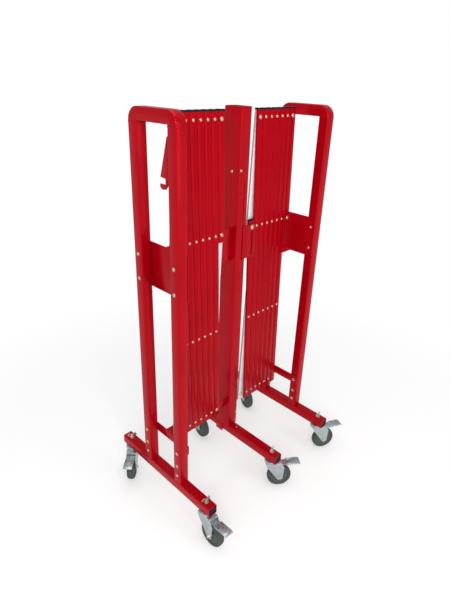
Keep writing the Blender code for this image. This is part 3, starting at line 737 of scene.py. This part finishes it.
def makePedal(name):
    # tread plate with ribs across it and a raised rail along each side
    node = name + "_brake_pedal"
    if node not in bodyOf:
        return
    turn = casterPlace(name)[2]
    makePiece(name + "PedalPlate", softened(node, 0.5 * mm), zincPlate, bodyOf[node], [node])
    hinge = Vector(joints[name + "_brake_lifts"]["pos_m"])
    tip, half = caster["pedalTip"], caster["ribHalf"]
    bm = bmesh.new()
    for step in range(4):
        x = tip - caster["ribStart"] - step * caster["ribStep"]
        z = caster["treadTop"] - caster["treadSlope"] * (caster["treadBend"] - x)
        addBox(bm, (x - 1.2 * mm, -half, z - 0.6 * mm), (x + 1.2 * mm, half, z + 1.0 * mm), 0.5 * mm)
    for sign in (-1, 1):
        y = sign * caster["railY"]
        addBox(bm, (caster["railStart"], y - 0.8 * mm, 5 * mm), (tip - 14 * mm, y + 0.8 * mm, 13.5 * mm),
               0.6 * mm)
    bmesh.ops.transform(bm, verts=bm.verts, matrix=moveTo(hinge, turn))
    makePiece(name + "PedalRibs", bm, zincPlate, bodyOf[node])


def makeFork(name):
    node = name + "_fork"
    makePiece(name + "ForkPlate", softened(node, 0.6 * mm), zincPlate, name + "_swivel", [node])


casterNames = [name[:-len("_wheel_spins")] for name in joints if name.endswith("_wheel_spins")]
for name in casterNames:
    makeWheel(name)
    makeCasterHardware(name)
    makeRace(name)
    makeWingNut(name)
    makePedal(name)
    makeFork(name)
print("casters made")

# ---- floor, light and camera
leftLow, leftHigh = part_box("left_hoop")
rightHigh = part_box("right_hoop")[1]
centre = Vector(((leftLow.x + rightHigh.x) / 2, (leftLow.y + leftHigh.y) / 2, 0))
room = {
    "floor": (0.93, 0.93, 0.93), "sky": 0.55, "backdrop": 1.0,
    "key": 64.0, "fill": 26.0, "top": 40.0, "front": 13.0, "glint": 9.0,
    "fade": {"From Min": 0.5, "From Max": 1.9, "To Min": 0.30, "To Max": 1.0},
}
view = {"place": (-1.168, -1.091, 1.542), "azimuth": -45.71, "elevation": 25.53, "roll": 1.98,
        "lens": 28.18}

floorMaterial = bpy.data.materials.new("paleFloor")
floorMaterial.use_nodes = True
floorTree = floorMaterial.node_tree
floorShader = floorTree.nodes["Principled BSDF"]
floorShader.inputs["Base Color"].default_value = (*room["floor"], 1)
floorShader.inputs["Roughness"].default_value = 0.85
# the floor fades into the backdrop away from the middle
floorPlace = addNode(floorTree, "ShaderNodeTexCoord")
floorReach = addNode(floorTree, "ShaderNodeVectorMath", operation="LENGTH")
floorFade = addNode(floorTree, "ShaderNodeMapRange", interpolation_type="SMOOTHSTEP")
for label in ("From Min", "From Max", "To Min", "To Max"):
    floorFade.inputs[label].default_value = room["fade"][label]
floorGlow = addNode(floorTree, "ShaderNodeEmission", Color=(1, 1, 1, 1), Strength=room["backdrop"])
floorMix = addNode(floorTree, "ShaderNodeMixShader")
floorTree.links.new(floorPlace.outputs["Object"], floorReach.inputs[0])
floorTree.links.new(floorReach.outputs["Value"], floorFade.inputs["Value"])
floorTree.links.new(floorFade.outputs["Result"], floorMix.inputs[0])
floorTree.links.new(floorShader.outputs[0], floorMix.inputs[1])
floorTree.links.new(floorGlow.outputs[0], floorMix.inputs[2])
floorTree.links.new(floorMix.outputs[0], floorTree.nodes["Material Output"].inputs["Surface"])
bm = bmesh.new()
bmesh.ops.create_grid(bm, x_segments=1, y_segments=1, size=14.0)
floorMesh = bpy.data.meshes.new("floor")
bm.to_mesh(floorMesh)
bm.free()
floorMesh.materials.append(floorMaterial)
floor = bpy.data.objects.new("floor", floorMesh)
floor.location.z = -0.0005
bpy.context.scene.collection.objects.link(floor)

sky = bpy.context.scene.world or bpy.data.worlds.new("studio")
bpy.context.scene.world = sky
sky.use_nodes = True
skyTree = sky.node_tree
backdrop = skyTree.nodes["Background"]
backdrop.inputs["Color"].default_value = (1, 1, 1, 1)
rays = addNode(skyTree, "ShaderNodeLightPath")
brightness = addNode(skyTree, "ShaderNodeMapRange")
brightness.inputs["To Min"].default_value = room["sky"]
brightness.inputs["To Max"].default_value = room["backdrop"]
skyTree.links.new(rays.outputs["Is Camera Ray"], brightness.inputs["Value"])
skyTree.links.new(brightness.outputs["Result"], backdrop.inputs["Strength"])


def addLight(name, place, size, power):
    data = bpy.data.lights.new(name, "AREA")
    data.size = size
    data.energy = power
    lamp = bpy.data.objects.new(name, data)
    lamp.location = Vector(place)
    lamp.rotation_euler = (Vector((0, 0, 0.7)) - Vector(place)).to_track_quat("-Z", "Y").to_euler()
    bpy.context.scene.collection.objects.link(lamp)


addLight("keyLight", (-2.6, -2.2, 2.8), 2.2, room["key"])
addLight("fillLight", (0.6, -3.4, 1.6), 2.4, room["fill"])
addLight("topLight", (0.0, 0.2, 4.0), 2.5, room["top"])
addLight("frontLight", (-1.9, -1.75, 1.9), 0.7, room["front"])
addLight("glintLight", (-1.0, -1.9, 2.5), 0.22, room["glint"])

turnA, turnE, turnR = (math.radians(view[label]) for label in ("azimuth", "elevation", "roll"))
back = Vector((math.sin(turnA) * math.cos(turnE), -math.cos(turnA) * math.cos(turnE), math.sin(turnE)))
level = Vector((math.cos(turnA), math.sin(turnA), 0))
upright = back.cross(level)
across = math.cos(turnR) * level + math.sin(turnR) * upright
up = -math.sin(turnR) * level + math.cos(turnR) * upright
cameraData = bpy.data.cameras.new("camera")
cameraData.sensor_fit = "VERTICAL"
cameraData.sensor_height = 36.0
cameraData.lens = view["lens"]
cameraObject = bpy.data.objects.new("camera", cameraData)
pose = Matrix((across, up, back)).transposed().to_4x4()
pose.translation = centre + Vector(view["place"])
cameraObject.matrix_world = pose
bpy.context.scene.collection.objects.link(cameraObject)
bpy.context.scene.camera = cameraObject
bpy.context.scene.view_settings.view_transform = "Standard"
print("studio ready")
